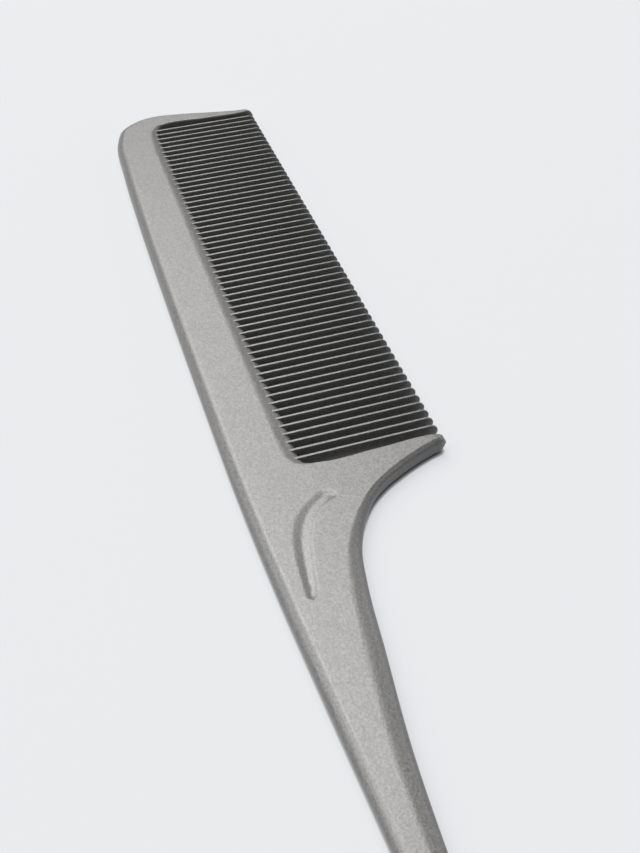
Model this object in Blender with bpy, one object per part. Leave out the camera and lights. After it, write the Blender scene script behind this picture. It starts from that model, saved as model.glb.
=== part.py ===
"""Rat tail comb: a flat moulding with a back, two guard teeth, 57 fine teeth and a thin tail.

Metres, +Z up. The comb lies flat on z = 0 with +X along its length, towards the far end of the
head, and with its teeth pointing along -Y. The origin is the centre of its box on that plane.

The real comb is a single moulding. Here it is split into its regions: the back with the far
guard tooth, the shoulder with the near guard tooth, the tail, and each fine tooth.
"""
import math

import bmesh
import bpy
from mathutils import Vector

MM = 0.001

# Driving dimensions. Outlines use comb coordinates: u runs along the comb from the inner face of
# the near guard tooth, v runs across it from the line where the fine teeth meet the back.
PITCH = 1.6 * MM
FINE_TEETH = 57
THICKNESS = 3.0 * MM
FAR_END = 97.0 * MM
TAIL_END = -118.0 * MM
BACK_EDGE = 9.87 * MM
GUARD_TIP = -20.2 * MM
JOIN_GAP = 0.3 * MM

# Fine tooth: its ridge is the narrow top and bottom, its waist the wide middle.
RIDGE_WIDTH = 0.40 * MM
WAIST_WIDTH = 0.80 * MM
TOOTH_HALF_HEIGHT = 1.24 * MM
TOOTH_TAPER = 0.75
TOOTH_TIP_NEAR = -20.0 * MM
TOOTH_TIP_FAR = -19.0 * MM
NOSE_LENGTH = 1.30 * MM
NOSE_ANGLES = (0.0, 30.0, 52.0, 70.0, 84.0)

# Where the regions meet, and how far the tail thins towards its end.
BACK_STARTS = 2.4 * MM
TAIL_STARTS = -33.0 * MM
TAIL_END_HALF_THICKNESS = 1.15 * MM

# The guard teeth's tips are rounded off in height as well.
GUARD_TIP_FAR = -19.2 * MM
GUARD_NOSE = 1.5 * MM
GUARD_TIP_SHARE = 0.25

# Edges: a flat land at the middle plane, part of an ellipse, then a border that eases into the face.
LEAST_LAND = 0.05 * MM
ROUNDING_STEEPNESS = 1.9
ROUNDING_ANGLES = (0.0, 25.0, 45.0, 65.0)
BORDER_STATIONS = (0.5, 1.0)
SAMPLE_SPACING = 5.0 * MM
LEAST_SAMPLES = 2

# Thumb recess on the shoulder.
RECESS_DEPTH = 0.25 * MM

PLASTIC_COLOUR = (0.10, 0.10, 0.10, 1.0)
PLASTIC_ROUGHNESS = 0.5

# Outline at the middle plane in millimetres: u, v, width of the edge rounding and width of the
# sloping border between the rounding and the flat face, going round with the material on the left.
OUTLINE = (
    # far guard tooth, tip then outer face
    (93.10, -19.20, 0.35, 0.10), (93.55, -18.55, 0.35, 0.10), (94.15, -15.40, 0.44, 0.16),
    (95.30, -10.20, 0.60, 0.20), (96.45, -5.00, 0.72, 0.23), (97.00, -1.20, 0.84, 0.26),
    # far corner
    (96.85, 1.50, 0.92, 0.28), (95.85, 4.05, 0.81, 0.49), (93.70, 6.75, 0.87, 0.53),
    (90.35, 8.06, 0.93, 0.57),
    # back
    (80.60, 8.94, 1.02, 0.63), (66.00, 9.44, 1.02, 0.63), (45.00, 9.75, 1.02, 0.63),
    (18.00, 9.87, 1.02, 0.63), (-2.00, 9.80, 1.02, 0.63), (-16.00, 9.38, 0.96, 0.59),
    (-33.50, 8.44, 0.90, 0.55),
    # tail, back side
    (-51.50, 7.37, 0.81, 0.49), (-70.00, 6.36, 0.71, 0.44), (-95.00, 5.76, 0.62, 0.38),
    (-114.50, 5.45, 0.56, 0.34),
    # end of the tail
    (-117.20, 5.10, 0.56, 0.34), (-118.00, 4.45, 0.59, 0.36), (-117.20, 3.75, 0.56, 0.34),
    # tail, tooth side
    (-114.50, 3.35, 0.56, 0.34), (-95.00, 3.05, 0.65, 0.40), (-70.00, 2.60, 1.05, 0.45),
    (-53.50, 2.10, 1.35, 0.90), (-42.40, 1.31, 1.50, 1.20), (-29.80, -0.33, 1.50, 1.30),
    # neck and the sweep into the near guard tooth
    (-19.90, -1.70, 1.30, 1.10), (-15.40, -2.70, 1.10, 0.90), (-12.00, -4.15, 0.90, 0.60),
    (-9.50, -5.65, 0.75, 0.35), (-7.50, -7.25, 0.65, 0.20), (-5.80, -9.25, 0.48, 0.17),
    (-4.15, -12.20, 0.48, 0.17), (-2.80, -15.20, 0.46, 0.17), (-1.75, -18.20, 0.50, 0.10),
    # near guard tooth, tip then inner face
    (-1.35, -19.55, 0.35, 0.10), (-0.85, -20.20, 0.45, 0.10), (-0.35, -19.75, 0.25, 0.08),
    (-0.20, -18.90, 0.16, 0.06), (-0.20, -10.00, 0.16, 0.06), (-0.20, -2.40, 0.16, 0.06),
    # near corner of the tooth row
    (-0.05, -1.60, 0.18, 0.08), (0.45, -0.70, 0.50, 0.30), (1.15, -0.20, 0.90, 0.80),
    (2.20, 0.00, 1.25, 1.00),
    # root line of the fine teeth
    (5.00, 0.00, 1.45, 1.00), (8.00, 0.00, 1.50, 1.00), (46.00, 0.00, 1.50, 1.00),
    (84.50, 0.00, 1.45, 1.00), (88.00, 0.00, 1.30, 0.95),
    # far corner of the tooth row
    (90.40, 0.00, 0.95, 0.80), (91.60, -0.12, 0.50, 0.40), (92.35, -0.50, 0.30, 0.15),
    (92.60, -1.20, 0.18, 0.08),
    # far guard tooth, inner face
    (92.60, -10.00, 0.16, 0.06), (92.60, -17.60, 0.16, 0.06), (92.78, -18.70, 0.25, 0.06),
)

# Thumb recess in millimetres, u and v: the edge nearer the back, then the edge nearer the teeth.
RECESS = (
    (-6.35, -2.55), (-5.35, -1.95), (-4.95, -0.75), (-5.65, 0.65), (-7.10, 2.75), (-9.00, 4.25),
    (-12.00, 5.45), (-15.50, 5.95), (-19.00, 6.20), (-20.90, 6.05), (-21.30, 5.50),
    (-20.70, 4.95), (-17.60, 4.15), (-14.00, 3.30), (-11.20, 2.35), (-9.40, 1.40), (-8.20, 0.40),
    (-7.20, -1.00),
)

HALF = THICKNESS / 2
CENTRE_U = (FAR_END + TAIL_END) / 2
CENTRE_V = (BACK_EDGE + GUARD_TIP) / 2


def to_world(u, v, height):
    """Comb coordinates and height above the middle plane to world coordinates."""
    return Vector((u - CENTRE_U, v - CENTRE_V, HALF + height))


def even_tangent(before, here, after):
    """Direction of a curve at one of its control points, however unevenly they are spaced."""
    back = (here - before).length
    ahead = (after - here).length
    arriving = (here - before) / back
    leaving = (after - here) / ahead
    return (arriving * ahead + leaving * back) / (back + ahead)


def closed_curve(controls):
    """Samples of a smooth closed curve through control points given in millimetres."""
    rows = [Vector(control) * MM for control in controls]
    points = [Vector(row[:2]) for row in rows]
    count = len(points)
    samples = []
    for index, start in enumerate(points):
        before = points[index - 1]
        end = points[(index + 1) % count]
        after = points[(index + 2) % count]
        length = (end - start).length
        leave = even_tangent(before, start, end) * length
        arrive = even_tangent(start, end, after) * length
        steps = max(LEAST_SAMPLES, math.ceil(length / SAMPLE_SPACING))
        for step in range(steps):
            t = step / steps
            place = (
                start * (2 * t ** 3 - 3 * t ** 2 + 1)
                + leave * (t ** 3 - 2 * t ** 2 + t)
                + end * (3 * t ** 2 - 2 * t ** 3)
                + arrive * (t ** 3 - t ** 2)
            )
            widths = rows[index].lerp(rows[(index + 1) % count], t)[2:]
            samples.append((place, *widths))
    return samples


def half_thickness(u, v):
    """Half the comb's thickness: thinner along the tail and at the guard teeth's tips."""
    half = HALF
    if u < TAIL_STARTS:
        share = (TAIL_STARTS - u) / (TAIL_STARTS - TAIL_END)
        half += (TAIL_END_HALF_THICKNESS - HALF) * share
    tip = GUARD_TIP if u < FAR_END / 2 else GUARD_TIP_FAR
    beyond = max(0.0, (tip + GUARD_NOSE - v) / GUARD_NOSE)
    roundness = math.sqrt(max(0.0, 1 - beyond ** 2))
    return half * (GUARD_TIP_SHARE + (1 - GUARD_TIP_SHARE) * roundness)


def edge_profiles(samples):
    """For each sample, the edge's points (u, v, height) from the middle plane up to the flat face."""
    last = math.radians(ROUNDING_ANGLES[-1])
    last_width = 1 - math.cos(last)
    last_height = math.sin(last)
    profiles = []
    count = len(samples)
    for index, (outline, rounding, border) in enumerate(samples):
        along = samples[(index + 1) % count][0] - samples[index - 1][0]
        inward = Vector((-along.y, along.x)).normalized()
        half = half_thickness(outline.x, outline.y)
        # The border starts at the slope where the ellipse ends, so this is its fall over its rise.
        fall = border / (2 * rounding) * last_width / (last_height * math.tan(last))
        rise = min(rounding * ROUNDING_STEEPNESS, (half - LEAST_LAND) / (1 + fall))
        profile = []
        for angle in ROUNDING_ANGLES:
            inset = rounding * (1 - math.cos(math.radians(angle))) / last_width
            height = half - rise * (1 + fall - math.sin(math.radians(angle)) / last_height)
            profile.append(Vector((*(outline + inward * inset), height)))
        for share in BORDER_STATIONS:
            inset = rounding + border * share
            height = half - rise * fall * (1 - share) ** 2
            profile.append(Vector((*(outline + inward * inset), height)))
        profiles.append(profile)
    return profiles


def clip(profiles, cut_u, keep_above):
    """Cut the closed outline at u = cut_u, and leave a plane end there."""
    side = 1 if keep_above else -1
    kept = []
    for index, profile in enumerate(profiles):
        last = profiles[index - 1]
        inside = (profile[0].x - cut_u) * side >= 0
        last_inside = (last[0].x - cut_u) * side >= 0
        if inside != last_inside:
            share = (cut_u - last[0].x) / (profile[0].x - last[0].x)
            crossing = [before.lerp(point, share) for before, point in zip(last, profile)]
            kept.append([Vector((cut_u, point.y, point.z)) for point in crossing])
        if inside:
            kept.append([Vector((max(p.x * side, cut_u * side) * side, p.y, p.z)) for p in profile])
    return kept


def skin(rings, name):
    """Closed mesh over a stack of rings with equal counts, with a face on each end."""
    mesh = bmesh.new()
    levels = [[mesh.verts.new(point) for point in ring] for ring in rings]
    for lower, upper in zip(levels, levels[1:]):
        for index in range(len(lower)):
            corners = (lower[index - 1], lower[index], upper[index], upper[index - 1])
            mesh.faces.new(corners)
    mesh.faces.new(reversed(levels[0]))
    mesh.faces.new(levels[-1])
    bmesh.ops.recalc_face_normals(mesh, faces=mesh.faces)
    bmesh.ops.triangulate(mesh, faces=[face for face in mesh.faces if len(face.verts) > 4])
    data = bpy.data.meshes.new(name)
    mesh.to_mesh(data)
    mesh.free()
    return data


def plate(profiles, name):
    """Region of the comb: its edge profiles joined from the lower face round to the upper one."""
    levels = len(ROUNDING_ANGLES) + len(BORDER_STATIONS)
    rings = []
    for level in reversed(range(levels)):
        rings.append([to_world(p[level].x, p[level].y, -p[level].z) for p in profiles])
    for level in range(levels):
        rings.append([to_world(p[level].x, p[level].y, p[level].z) for p in profiles])
    return skin(rings, name)


def tooth(index):
    """One fine tooth: a six-sided bar, drafted to its ridges, with a rounded nose."""
    centre = PITCH * (index + 1)
    tip = TOOTH_TIP_NEAR + (TOOTH_TIP_FAR - TOOTH_TIP_NEAR) * centre / FAR_END
    nose = tip + NOSE_LENGTH
    stations = [(-JOIN_GAP, 1.0, 1.0)]
    for angle in NOSE_ANGLES:
        fullness = math.cos(math.radians(angle))
        along = nose - NOSE_LENGTH * math.sin(math.radians(angle))
        stations.append((along, fullness, TOOTH_TAPER * math.sqrt(fullness)))
    rings = []
    for along, tall, wide in stations:
        top = TOOTH_HALF_HEIGHT * tall
        ridge = RIDGE_WIDTH / 2 * wide
        waist = WAIST_WIDTH / 2 * wide
        section = (
            (ridge, top), (-ridge, top), (-waist, 0.0),
            (-ridge, -top), (ridge, -top), (waist, 0.0),
        )
        rings.append([to_world(centre + across, along, height) for across, height in section])
    return skin(rings, f"tooth_{index + 1:02d}")


def recess_cutter():
    """Tool for the thumb recess: a crescent that reaches below the upper face."""
    rings = []
    for height in (HALF - RECESS_DEPTH, HALF + RECESS_DEPTH):
        rings.append([to_world(place.x, place.y, height) for place, in closed_curve(RECESS)])
    return skin(rings, "recess_cutter")


def plastic(name):
    """Matt dark grey moulded plastic."""
    material = bpy.data.materials.new(name)
    material.use_nodes = True
    shader = material.node_tree.nodes["Principled BSDF"]
    shader.inputs["Base Color"].default_value = PLASTIC_COLOUR
    shader.inputs["Roughness"].default_value = PLASTIC_ROUGHNESS
    shader.inputs["Metallic"].default_value = 0.0
    return material


def place(data, collection):
    """Object for a mesh, shaded smooth but for its sharp edges."""
    data.shade_smooth()
    data.set_sharp_from_angle(angle=math.radians(40))
    part = bpy.data.objects.new(data.name, data)
    part.data.materials.append(plastic(data.name))
    collection.objects.link(part)
    return part


def new_collection(name):
    """Collection linked to the scene."""
    collection = bpy.data.collections.new(name)
    bpy.context.scene.collection.children.link(collection)
    return collection


def build():
    """Make every region of the comb."""
    for leftover in list(bpy.data.objects):
        bpy.data.objects.remove(leftover, do_unlink=True)
    comb = new_collection("rat_tail_comb")
    cutters = new_collection("cutters")

    profiles = edge_profiles(closed_curve(OUTLINE))
    back = clip(profiles, BACK_STARTS + JOIN_GAP / 2, keep_above=True)
    place(plate(back, "back_and_far_guard"), comb)
    head_side = clip(profiles, BACK_STARTS - JOIN_GAP / 2, keep_above=False)
    middle = clip(head_side, TAIL_STARTS + JOIN_GAP / 2, keep_above=True)
    shoulder = place(plate(middle, "shoulder_and_near_guard"), comb)
    tail = clip(profiles, TAIL_STARTS - JOIN_GAP / 2, keep_above=False)
    place(plate(tail, "tail"), comb)

    cutter = bpy.data.objects.new("recess_cutter", recess_cutter())
    cutter.hide_render = True
    cutter.display_type = "WIRE"
    cutters.objects.link(cutter)
    recess = shoulder.modifiers.new("thumb recess", "BOOLEAN")
    recess.operation = "DIFFERENCE"
    recess.object = cutter

    for index in range(FINE_TEETH):
        place(tooth(index), comb)


build()
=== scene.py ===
"""Looks of the rat tail comb: its seamless moulding, fine teeth, plastic, light and view."""
import math

import bmesh
import bpy
import numpy as np
from mathutils import Matrix, Vector
from mathutils.geometry import delaunay_2d_cdt


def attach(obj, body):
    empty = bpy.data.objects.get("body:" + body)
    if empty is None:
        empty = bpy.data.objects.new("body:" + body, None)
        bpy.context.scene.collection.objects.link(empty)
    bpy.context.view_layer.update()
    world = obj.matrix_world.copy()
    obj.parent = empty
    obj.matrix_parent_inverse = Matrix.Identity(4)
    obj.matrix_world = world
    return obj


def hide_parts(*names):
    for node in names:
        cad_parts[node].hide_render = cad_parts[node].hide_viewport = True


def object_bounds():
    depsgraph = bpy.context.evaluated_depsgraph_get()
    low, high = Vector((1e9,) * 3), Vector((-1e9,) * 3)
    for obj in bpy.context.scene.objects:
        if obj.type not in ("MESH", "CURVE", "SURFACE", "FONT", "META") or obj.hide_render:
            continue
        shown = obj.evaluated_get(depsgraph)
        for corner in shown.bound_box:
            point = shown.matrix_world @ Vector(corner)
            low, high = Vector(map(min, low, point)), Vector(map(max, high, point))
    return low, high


MM = 0.001

# The comb's design in millimetres, as the CAD model has it. u runs along the comb from the inner
# face of the near guard tooth, v across it from the root line of the fine teeth.
PITCH = 1.6
FINE_TEETH = 57
FAR_END = 97.0
BACK_EDGE = 9.87
TAIL_STARTS = -33.0
TAIL_END = -118.0
HALF_THICKNESS = 1.5
TAIL_END_HALF_THICKNESS = 1.15
GUARD_TIP_NEAR = -20.2
GUARD_TIP_FAR = -19.2
GUARD_NOSE = 1.5
GUARD_TIP_SHARE = 0.25

# Outline at the middle plane: u, v, width of the edge rounding and width of the sloping border
# between the rounding and the flat face, with the material on the left.
OUTLINE = (
    # far guard tooth, tip then outer face
    (93.10, -19.20, 0.35, 0.10), (93.55, -18.55, 0.35, 0.10), (94.15, -15.40, 0.44, 0.16),
    (95.30, -10.20, 0.60, 0.20), (96.45, -5.00, 0.72, 0.23), (97.00, -1.20, 0.84, 0.26),
    # far corner
    (96.85, 1.50, 0.92, 0.28), (95.85, 4.05, 0.81, 0.49), (93.70, 6.75, 0.87, 0.53),
    (90.35, 8.06, 0.93, 0.57),
    # back
    (80.60, 8.94, 1.02, 0.63), (66.00, 9.44, 1.02, 0.63), (45.00, 9.75, 1.02, 0.63),
    (18.00, 9.87, 1.02, 0.63), (-2.00, 9.80, 1.02, 0.63), (-16.00, 9.38, 0.96, 0.59),
    (-33.50, 8.44, 0.90, 0.55),
    # tail, back side
    (-51.50, 7.37, 0.81, 0.49), (-70.00, 6.36, 0.71, 0.44), (-95.00, 5.76, 0.62, 0.38),
    (-114.50, 5.45, 0.56, 0.34),
    # end of the tail
    (-117.20, 5.10, 0.56, 0.34), (-118.00, 4.45, 0.59, 0.36), (-117.20, 3.75, 0.56, 0.34),
    # tail, tooth side
    (-114.50, 3.35, 0.56, 0.34), (-95.00, 3.05, 0.65, 0.40), (-70.00, 2.60, 1.05, 0.45),
    (-53.50, 2.10, 1.35, 0.90), (-42.40, 1.31, 1.50, 1.20), (-29.80, -0.33, 1.50, 1.30),
    # neck and the sweep into the near guard tooth
    (-19.90, -1.70, 1.30, 1.10), (-15.40, -2.70, 1.10, 0.90), (-12.00, -4.15, 0.90, 0.60),
    (-9.50, -5.65, 0.75, 0.35), (-7.50, -7.25, 0.65, 0.20), (-5.80, -9.25, 0.48, 0.17),
    (-4.15, -12.20, 0.48, 0.17), (-2.80, -15.20, 0.46, 0.17), (-1.75, -18.20, 0.50, 0.10),
    # near guard tooth, tip then inner face
    (-1.35, -19.55, 0.35, 0.10), (-0.85, -20.20, 0.45, 0.10), (-0.35, -19.75, 0.25, 0.08),
    (-0.20, -18.90, 0.16, 0.06), (-0.20, -10.00, 0.16, 0.06), (-0.20, -2.40, 0.16, 0.06),
    # near corner of the tooth row
    (-0.05, -1.60, 0.18, 0.08), (0.45, -0.70, 0.50, 0.30), (1.15, -0.20, 0.90, 0.80),
    (2.20, 0.00, 1.25, 1.00),
    # root line of the fine teeth
    (5.00, 0.00, 1.45, 1.00), (8.00, 0.00, 1.50, 1.00), (46.00, 0.00, 1.50, 1.00),
    (84.50, 0.00, 1.45, 1.00), (88.00, 0.00, 1.30, 0.95),
    # far corner of the tooth row
    (90.40, 0.00, 0.95, 0.80), (91.60, -0.12, 0.50, 0.40), (92.35, -0.50, 0.30, 0.15),
    (92.60, -1.20, 0.18, 0.08),
    # far guard tooth, inner face
    (92.60, -10.00, 0.16, 0.06), (92.60, -17.60, 0.16, 0.06), (92.78, -18.70, 0.25, 0.06),
)

# Edges: a narrow land at the middle plane, part of an ellipse up to its last angle, then a border
# that eases into the face, with a lip of flat face round it.
LEAST_LAND = 0.03
ROUNDING_STEEPNESS = 1.9
ROUNDING_STEPS = 10
LAST_ANGLE = math.radians(65)
BORDER_STATIONS = (0.2, 0.4, 0.6, 0.8, 1.0)
FACE_LIP = 0.08
OUTLINE_SPACING = 0.8
LEAST_SAMPLES = 6

# Thumb recess: the edge nearer the back, then the edge nearer the teeth.
RECESS = (
    (-6.35, -2.55), (-5.35, -1.95), (-4.95, -0.75), (-5.65, 0.65), (-7.10, 2.75), (-9.00, 4.25),
    (-12.00, 5.45), (-15.50, 5.95), (-19.00, 6.20), (-20.90, 6.05), (-21.30, 5.50),
    (-20.70, 4.95), (-17.60, 4.15), (-14.00, 3.30), (-11.20, 2.35), (-9.40, 1.40), (-8.20, 0.40),
    (-7.20, -1.00),
)
# How many of those points are on the edge nearer the back, and the shape of the hollow between the
# edges: a wall, part straight and part rounded, then a floor that rises to a lip. Its grid of points
# has every other row shifted, with the rows closer together than the points in a row.
RECESS_BACK_POINTS = 11
RECESS_DEPTH = 0.20
RECESS_WALL_SHARE = 0.50
RECESS_WALL_STRAIGHTNESS = 0.4
RECESS_LIP = 0.3
RECESS_LIP_SHARE = 0.15
RECESS_END_WIDTH = 1.2
RECESS_SPACING = 0.5
RECESS_GRID = 0.22
RECESS_ROW_SHARE = 0.866
RECESS_MARGIN = 0.7

# Fine tooth: a flat ridge with rounded corners, drafted walls, a taper to the nose and a round nose.
RIDGE_HALF_WIDTH = 0.20
RIDGE_ROUNDING = 0.06
RIDGE_STEPS = 3
RIDGE_FLAT_SHARE = 0.8
WAIST_HALF_WIDTH = 0.40
TOOTH_HALF_HEIGHT = 1.24
TOOTH_TAPER = 0.80
TOOTH_ROOT = 2.2
TOOTH_TIP_NEAR = -20.0
TOOTH_TIP_FAR = -19.0
TOOTH_STEPS = 8
NOSE_LENGTH = 1.30
NOSE_STEPS = 9
NOSE_LAST_ANGLE = math.radians(87)
NOSE_BLUNTNESS = 0.6

# Edges sharper than this stay sharp in the shading.
CREASE_ANGLE = math.radians(50)

# Plastic: a fine speckle in the colour and the surface, and a slow change in the roughness. Noise
# scales are per metre.
DARK_GRAIN = (0.060, 0.060, 0.060, 1)
PALE_GRAIN = (0.120, 0.119, 0.118, 1)
SPECKLE_SCALE = 3500
SPECKLE_DETAIL = 3.0
MOTTLE_SCALE = 350
MOTTLE_DETAIL = 2.0
NOISE_RANGE = (0.3, 0.7)
ROUGHNESS_RANGE = (0.32, 0.36)
PLASTIC_IOR = 1.5
GRAIN_STRENGTH = 0.25
GRAIN_HEIGHT = 0.00008

# Studio, in metres: a pale floor with its own glow and a painted contact shade where the comb is
# close above it, and a pale wall round it.
FLOOR_RADIUS = 6.0
FLOOR_SEGMENTS = 96
FLOOR_CLEARANCE = 0.00002
FLOOR_COLOUR = (0.100, 0.100, 0.100, 1)
FLOOR_GLOW_COLOUR = (0.98, 1.0, 1.035, 1)
FLOOR_GLOW = 0.605
BACKDROP_HEIGHT = 8.0
BACKDROP_GLOW = 0.74
# Painted contact shade: how far and how strongly the floor's glow is dimmed near the comb.
PAINTED_SHADE_SAMPLES = 8
PAINTED_SHADE_REACH = 0.00065
PAINTED_SHADE_POWER = 3.0
ROOM_LIGHT = 0.06
LIGHT_DISTANCE = 3.0
LAMP_COLOUR = (1.0, 0.992, 0.976)

# Softboxes: name, azimuth and elevation in degrees, half the width and half the height as shares of
# the distance, and radiance.
SOFTBOXES = (
    ("low_key", 6, 46, 0.30, 0.25, 7.5),
    ("high_key", -10, 68, 0.25, 0.24, 10.5),
    ("top", 76, 58, 0.34, 0.30, 8.4),
    ("side", 70, 24, 0.40, 0.27, 3.6),
    ("far_side", -60, 20, 0.35, 0.25, 1.6),
    ("low_fill", -112, 14, 0.35, 0.20, 2.5),
)

# Camera behind the tail, looking down along the comb.
CAMERA_PLACE = Vector((-0.0808, 0.033465, 0.1066))
CAMERA_FORWARD = Vector((0.66725, -0.22276, -0.71075))
CAMERA_ROLL = math.radians(0.14)
SENSOR_HEIGHT = 36.0
FOCAL_LENGTH = 44.7

# Corners of the CAD model's box, known once the frame is loaded.
CAD_LOW, CAD_HIGH = None, None


def to_world(u, v, height):
    """Comb coordinates and height above the middle plane, all in millimetres, to world metres."""
    return Vector((
        CAD_HIGH.x + (u - FAR_END) * MM,
        CAD_HIGH.y + (v - BACK_EDGE) * MM,
        (CAD_LOW.z + CAD_HIGH.z) / 2 + height * MM,
    ))


def even_tangent(before, here, after):
    """Direction of a curve at one of its control points, however unevenly they are spaced."""
    back = (here - before).length
    ahead = (after - here).length
    arriving = (here - before) / back
    leaving = (after - here) / ahead
    return (arriving * ahead + leaving * back) / (back + ahead)


def closed_curve(controls, spacing):
    """Samples of a smooth closed curve through the control points, one list for each control."""
    points = [Vector(control[:2]) for control in controls]
    rows = [np.array(control) for control in controls]
    count = len(points)
    stretches = []
    for index, start in enumerate(points):
        before = points[index - 1]
        end = points[(index + 1) % count]
        after = points[(index + 2) % count]
        length = (end - start).length
        leave = even_tangent(before, start, end) * length
        arrive = even_tangent(start, end, after) * length
        steps = max(LEAST_SAMPLES, math.ceil(length / spacing))
        samples = []
        for step in range(steps):
            t = step / steps
            place = (
                start * (2 * t ** 3 - 3 * t ** 2 + 1)
                + leave * (t ** 3 - 2 * t ** 2 + t)
                + end * (3 * t ** 2 - 2 * t ** 3)
                + arrive * (t ** 3 - t ** 2)
            )
            rest = rows[index][2:] * (1 - t) + rows[(index + 1) % count][2:] * t
            samples.append((place.x, place.y, *rest))
        stretches.append(samples)
    return stretches


def half_thickness(u, v):
    """Half the comb's thickness: thinner along the tail and rounded off at the guard teeth's tips."""
    share = max(0.0, (TAIL_STARTS - u) / (TAIL_STARTS - TAIL_END))
    half = HALF_THICKNESS + (TAIL_END_HALF_THICKNESS - HALF_THICKNESS) * share
    tip = GUARD_TIP_NEAR if u < FAR_END / 2 else GUARD_TIP_FAR
    beyond = max(0.0, (tip + GUARD_NOSE - v) / GUARD_NOSE)
    roundness = math.sqrt(max(0.0, 1 - beyond ** 2))
    return half * (GUARD_TIP_SHARE + (1 - GUARD_TIP_SHARE) * roundness)


def inside(loop, points):
    """Which of the points lie inside the closed loop."""
    x, y = points[:, 0], points[:, 1]
    result = np.zeros(len(points), bool)
    for (ax, ay), (bx, by) in zip(loop, np.roll(loop, -1, axis=0)):
        if ay == by:
            continue
        crosses = (ay > y) != (by > y)
        result ^= crosses & (x < (bx - ax) * (y - ay) / (by - ay) + ax)
    return result


def distance(line, points):
    """Distance of each point to a polyline."""
    best = np.full(len(points), np.inf)
    for a, b in zip(line[:-1], line[1:]):
        along = b - a
        t = np.clip(((points - a) @ along) / (along @ along), 0, 1)
        best = np.minimum(best, np.linalg.norm(points - (a + t[:, None] * along), axis=1))
    return best


def smoothstep(x):
    """Smooth change from 0 to 1."""
    x = np.clip(x, 0, 1)
    return x * x * (3 - 2 * x)


def recess_edges():
    """The thumb recess's edge nearer the back and its edge nearer the teeth."""
    stretches = closed_curve(RECESS, RECESS_SPACING)
    back = [point for stretch in stretches[:RECESS_BACK_POINTS - 1] for point in stretch]
    teeth = [point for stretch in stretches[RECESS_BACK_POINTS - 1:] for point in stretch]
    return np.array(back + teeth[:1]), np.array(teeth + back[:1])


def recess_depths(points):
    """Depth of the thumb recess at each point: a wall below the back edge, then a rising floor."""
    back, teeth = recess_edges()
    within = inside(np.vstack([back, teeth[1:-1]]), points)
    from_back = distance(back, points)
    from_teeth = distance(teeth, points)
    share = from_back / np.maximum(from_back + from_teeth, 1e-9)
    down = np.clip(share / RECESS_WALL_SHARE, 0, 1)
    wall = RECESS_WALL_STRAIGHTNESS * down + (1 - RECESS_WALL_STRAIGHTNESS) * smoothstep(down)
    across_floor = np.clip((share - RECESS_WALL_SHARE) / (1 - RECESS_WALL_SHARE), 0, 1)
    floor = 1 - (1 - RECESS_LIP) * across_floor
    lip = smoothstep((1 - share) / RECESS_LIP_SHARE)
    ends = smoothstep((from_back + from_teeth) / RECESS_END_WIDTH)
    return np.where(within, RECESS_DEPTH * wall * floor * lip * ends, 0.0)


def recess_grid():
    """Points of a fine grid over the thumb recess and a little around it."""
    back, teeth = recess_edges()
    loop = np.vstack([back, teeth[1:]])
    low = loop.min(axis=0) - RECESS_MARGIN
    high = loop.max(axis=0) + RECESS_MARGIN
    us = np.arange(low[0], high[0], RECESS_GRID)
    rows = []
    for row, v in enumerate(np.arange(low[1], high[1], RECESS_GRID * RECESS_ROW_SHARE)):
        shift = RECESS_GRID / 2 if row % 2 else 0.0
        rows.append(np.column_stack([us + shift, np.full(len(us), v)]))
    grid = np.vstack(rows)
    near = inside(loop, grid) | (distance(loop, grid) < RECESS_MARGIN)
    return grid[near]


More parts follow.
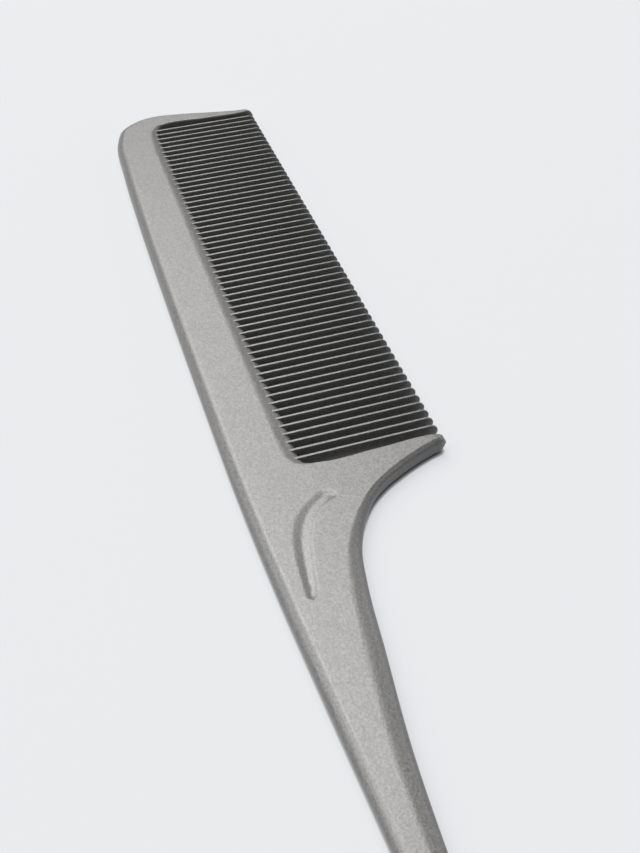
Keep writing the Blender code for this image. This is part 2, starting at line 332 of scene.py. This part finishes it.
def comb_body():
    """The moulding without its fine teeth: shaped edge rings between two flat faces."""
    stretches = closed_curve(OUTLINE, OUTLINE_SPACING)
    samples = np.array([sample for stretch in stretches for sample in stretch])
    count = len(samples)
    outline, rounding, border = samples[:, :2], samples[:, 2], samples[:, 3]
    along = np.roll(outline, -1, axis=0) - np.roll(outline, 1, axis=0)
    inward = np.column_stack([-along[:, 1], along[:, 0]])
    inward /= np.linalg.norm(inward, axis=1)[:, None]

    halves = np.array([half_thickness(u, v) for u, v in outline])
    # The border starts at the slope where the ellipse ends; this is its fall over the ellipse's rise.
    width, tallness = 1 - math.cos(LAST_ANGLE), math.sin(LAST_ANGLE)
    falls = border / (2 * rounding) * width / (tallness * math.tan(LAST_ANGLE))
    rises = np.minimum(rounding * ROUNDING_STEEPNESS, (halves - LEAST_LAND) / (1 + falls))

    # Insets and heights of the rings from the middle plane up to the face.
    profile = []
    for step in range(ROUNDING_STEPS + 1):
        angle = LAST_ANGLE * step / ROUNDING_STEPS
        inset = rounding * (1 - math.cos(angle)) / width
        profile.append((inset, halves - rises * (1 + falls - math.sin(angle) / tallness)))
    for share in BORDER_STATIONS:
        profile.append((rounding + border * share, halves - rises * falls * (1 - share) ** 2))
    profile.append((rounding + border + FACE_LIP, halves))

    mesh = bmesh.new()
    rings = []
    for side, levels in ((-1, reversed(profile)), (1, profile)):
        for inset, height in levels:
            ring = []
            for index, (u, v) in enumerate(outline + inward * inset[:, None]):
                ring.append(mesh.verts.new(to_world(u, v, side * height[index])))
            rings.append(ring)
    for lower, upper in zip(rings, rings[1:]):
        for index in range(count):
            mesh.faces.new((lower[index - 1], lower[index], upper[index], upper[index - 1]))

    face_loop = outline + inward * (rounding + border + FACE_LIP)[:, None]
    edges = [(index, (index + 1) % count) for index in range(count)]
    for side, ring, extra in ((1, rings[-1], recess_grid()), (-1, rings[0], np.empty((0, 2)))):
        points = [Vector(p) for p in face_loop] + [Vector(p) for p in extra]
        made, _, triangles, sources, _, _ = delaunay_2d_cdt(points, edges, [], 1, 1e-6)
        flat = np.array([tuple(p) for p in made])
        depths = recess_depths(flat) if side > 0 else np.zeros(len(flat))
        verts = []
        for (u, v), depth, source in zip(flat, depths, sources):
            known = [s for s in source if s < count]
            if known:
                verts.append(ring[known[0]])
            else:
                verts.append(mesh.verts.new(to_world(u, v, side * half_thickness(u, v) - depth)))
        for triangle in triangles:
            mesh.faces.new([verts[index] for index in triangle])
    bmesh.ops.recalc_face_normals(mesh, faces=mesh.faces)
    return finished(mesh, "comb_body")


def tooth_section(tall, wide):
    """Flat ridge with rounded corners, drafted walls and waist of a fine tooth: (across, height)."""
    ridge = RIDGE_HALF_WIDTH * wide
    waist = WAIST_HALF_WIDTH * wide
    top = TOOTH_HALF_HEIGHT * tall
    corner = RIDGE_ROUNDING * min(tall, wide)
    right = []
    for step in range(RIDGE_STEPS + 1):
        angle = math.pi / 2 * step / RIDGE_STEPS
        across = ridge - corner * (1 - math.cos(angle))
        right.append((across, top - corner * (1 - math.sin(angle))))
    right.append(((ridge - corner) * RIDGE_FLAT_SHARE, top))
    upper = right + [(-across, height) for across, height in reversed(right)]
    lower = [(-across, -height) for across, height in upper]
    return upper + [(-waist, 0.0)] + lower + [(waist, 0.0)]


def fine_tooth(index):
    """One fine tooth, its root buried in the back and its nose rounded."""
    centre = PITCH * (index + 1)
    tip = TOOTH_TIP_NEAR + (TOOTH_TIP_FAR - TOOTH_TIP_NEAR) * centre / FAR_END
    nose = tip + NOSE_LENGTH
    stations = []
    for step in range(TOOTH_STEPS):
        share = step / TOOTH_STEPS
        along = TOOTH_ROOT + (nose - TOOTH_ROOT) * share
        stations.append((along, 1.0, 1 - (1 - TOOTH_TAPER) * share))
    for step in range(NOSE_STEPS + 1):
        angle = NOSE_LAST_ANGLE * step / NOSE_STEPS
        fullness = math.cos(angle)
        along = nose - NOSE_LENGTH * math.sin(angle)
        stations.append((along, fullness, TOOTH_TAPER * fullness ** NOSE_BLUNTNESS))
    mesh = bmesh.new()
    levels = []
    for along, tall, wide in stations:
        section = tooth_section(tall, wide)
        levels.append([mesh.verts.new(to_world(centre + a, along, h)) for a, h in section])
    for lower, upper in zip(levels, levels[1:]):
        for corner in range(len(lower)):
            mesh.faces.new((lower[corner - 1], lower[corner], upper[corner], upper[corner - 1]))
    mesh.faces.new(reversed(levels[0]))
    mesh.faces.new(levels[-1])
    bmesh.ops.recalc_face_normals(mesh, faces=mesh.faces)
    return finished(mesh, f"fine_tooth_{index + 1:02d}")


def finished(mesh, name):
    """Smooth-shaded object from a bmesh."""
    data = bpy.data.meshes.new(name)
    mesh.to_mesh(data)
    mesh.free()
    data.shade_smooth()
    data.set_sharp_from_angle(angle=CREASE_ANGLE)
    piece = bpy.data.objects.new(name, data)
    bpy.context.scene.collection.objects.link(piece)
    return piece


def principled(name):
    """New material with a Principled BSDF: the material, its nodes, its links and the shader."""
    material = bpy.data.materials.new(name)
    material.use_nodes = True
    tree = material.node_tree
    return material, tree.nodes, tree.links, tree.nodes["Principled BSDF"]


def moulded_plastic():
    """Dark grey moulded plastic with a fine spark-eroded texture."""
    material, nodes, links, shader = principled("moulding")
    shader.inputs["IOR"].default_value = PLASTIC_IOR
    place = nodes.new("ShaderNodeTexCoord")

    def noise(scale, detail):
        node = nodes.new("ShaderNodeTexNoise")
        node.inputs["Scale"].default_value = scale
        node.inputs["Detail"].default_value = detail
        links.new(place.outputs["Object"], node.inputs["Vector"])
        return node.outputs["Fac"]

    def stretched(source, low, high):
        node = nodes.new("ShaderNodeMapRange")
        node.inputs["From Min"].default_value = NOISE_RANGE[0]
        node.inputs["From Max"].default_value = NOISE_RANGE[1]
        node.inputs["To Min"].default_value = low
        node.inputs["To Max"].default_value = high
        links.new(source, node.inputs["Value"])
        return node.outputs["Result"]

    speckle = noise(SPECKLE_SCALE, SPECKLE_DETAIL)
    mottle = noise(MOTTLE_SCALE, MOTTLE_DETAIL)
    colour = nodes.new("ShaderNodeMix")
    colour.data_type = "RGBA"
    colour.inputs[6].default_value = DARK_GRAIN
    colour.inputs[7].default_value = PALE_GRAIN
    links.new(stretched(speckle, 0, 1), colour.inputs[0])
    links.new(colour.outputs[2], shader.inputs["Base Color"])
    links.new(stretched(mottle, *ROUGHNESS_RANGE), shader.inputs["Roughness"])

    bump = nodes.new("ShaderNodeBump")
    bump.inputs["Strength"].default_value = GRAIN_STRENGTH
    bump.inputs["Distance"].default_value = GRAIN_HEIGHT
    links.new(speckle, bump.inputs["Height"])
    links.new(bump.outputs["Normal"], shader.inputs["Normal"])
    return material


def lay_floor():
    """Pale floor that glows evenly, but for a painted contact shade where the comb is close above it.
    """
    mesh = bmesh.new()
    bmesh.ops.create_circle(mesh, cap_ends=True, segments=FLOOR_SEGMENTS, radius=FLOOR_RADIUS)
    floor = finished(mesh, "floor")
    floor.location.z = -FLOOR_CLEARANCE
    paint, nodes, links, shader = principled("floor")
    shader.inputs["Base Color"].default_value = FLOOR_COLOUR
    shader.inputs["Roughness"].default_value = 1.0
    shader.inputs["Specular IOR Level"].default_value = 0.0
    shader.inputs["Emission Color"].default_value = FLOOR_GLOW_COLOUR

    # Painted contact shade: the glow is dimmed by ambient occlusion under and beside the comb.
    painted_shade = nodes.new("ShaderNodeAmbientOcclusion")
    painted_shade.samples = PAINTED_SHADE_SAMPLES
    painted_shade.inputs["Distance"].default_value = PAINTED_SHADE_REACH
    deepened = nodes.new("ShaderNodeMath")
    deepened.operation = "POWER"
    links.new(painted_shade.outputs["AO"], deepened.inputs[0])
    deepened.inputs[1].default_value = PAINTED_SHADE_POWER
    glow = nodes.new("ShaderNodeMath")
    glow.operation = "MULTIPLY"
    links.new(deepened.outputs["Value"], glow.inputs[0])
    glow.inputs[1].default_value = FLOOR_GLOW
    links.new(glow.outputs["Value"], shader.inputs["Emission Strength"])
    floor.data.materials.append(paint)


def raise_backdrop():
    """Pale wall far behind everything, which is seen but throws no light on the comb."""
    mesh = bmesh.new()
    bmesh.ops.create_cone(
        mesh, segments=FLOOR_SEGMENTS,
        radius1=FLOOR_RADIUS, radius2=FLOOR_RADIUS, depth=BACKDROP_HEIGHT,
    )
    backdrop = finished(mesh, "backdrop")
    backdrop.location.z = BACKDROP_HEIGHT / 2 - FLOOR_CLEARANCE
    backdrop.visible_diffuse = False
    backdrop.visible_glossy = False
    backdrop.visible_shadow = False
    paint, _, _, shader = principled("backdrop")
    shader.inputs["Base Color"].default_value = (0.0, 0.0, 0.0, 1)
    shader.inputs["Specular IOR Level"].default_value = 0.0
    shader.inputs["Emission Color"].default_value = FLOOR_GLOW_COLOUR
    shader.inputs["Emission Strength"].default_value = BACKDROP_GLOW
    backdrop.data.materials.append(paint)


def light_room():
    """Dim even room light, and softboxes that the camera doesn't see."""
    world = bpy.data.worlds.new("room")
    bpy.context.scene.world = world
    world.use_nodes = True
    room = world.node_tree.nodes["Background"]
    room.inputs["Color"].default_value = (1.0, 1.0, 1.0, 1)
    room.inputs["Strength"].default_value = ROOM_LIGHT

    for name, azimuth, elevation, half_width, half_height, radiance in SOFTBOXES:
        width = 2 * half_width * LIGHT_DISTANCE
        height = 2 * half_height * LIGHT_DISTANCE
        lamp = bpy.data.lights.new(name, "AREA")
        lamp.shape = "RECTANGLE"
        lamp.size = width
        lamp.size_y = height
        lamp.energy = radiance * math.pi * width * height
        lamp.color = LAMP_COLOUR
        light = bpy.data.objects.new(name, lamp)
        turn = math.radians(azimuth)
        rise = math.radians(elevation)
        level = math.cos(rise)
        away = Vector((level * math.cos(turn), level * math.sin(turn), math.sin(rise)))
        light.location = away * LIGHT_DISTANCE
        light.rotation_euler = (-away).to_track_quat("-Z", "Y").to_euler()
        light.visible_camera = False
        bpy.context.scene.collection.objects.link(light)


def place_camera():
    """Camera behind the tail, looking along the comb from above."""
    lens = bpy.data.cameras.new("camera")
    lens.sensor_fit = "VERTICAL"
    lens.sensor_height = SENSOR_HEIGHT
    lens.lens = FOCAL_LENGTH
    eye = bpy.data.objects.new("camera", lens)
    aim = CAMERA_FORWARD.to_track_quat("-Z", "Y").to_matrix()
    matrix = (aim @ Matrix.Rotation(CAMERA_ROLL, 3, "Z")).to_4x4()
    matrix.translation = CAMERA_PLACE
    eye.matrix_world = matrix
    bpy.context.scene.collection.objects.link(eye)
    bpy.context.scene.camera = eye


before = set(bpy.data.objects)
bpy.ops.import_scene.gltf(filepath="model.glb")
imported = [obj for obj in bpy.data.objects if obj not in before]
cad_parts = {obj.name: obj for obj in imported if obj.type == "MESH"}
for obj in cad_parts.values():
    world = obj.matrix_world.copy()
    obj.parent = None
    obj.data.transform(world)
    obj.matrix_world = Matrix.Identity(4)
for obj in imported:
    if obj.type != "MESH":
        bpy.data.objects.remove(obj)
cad_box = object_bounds()
CAD_LOW, CAD_HIGH = Vector(cad_box[0]), Vector(cad_box[1])

bpy.context.scene.view_settings.view_transform = "Standard"
plastic = moulded_plastic()
body = comb_body()
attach(body, "root")
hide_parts("back_and_far_guard", "shoulder_and_near_guard", "tail")
body.data.materials.append(plastic)
for number in range(FINE_TEETH):
    piece = fine_tooth(number)
    piece.data.materials.append(plastic)
    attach(piece, "root")
    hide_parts(f"tooth_{number + 1:02d}")
lay_floor()
raise_backdrop()
light_room()
place_camera()
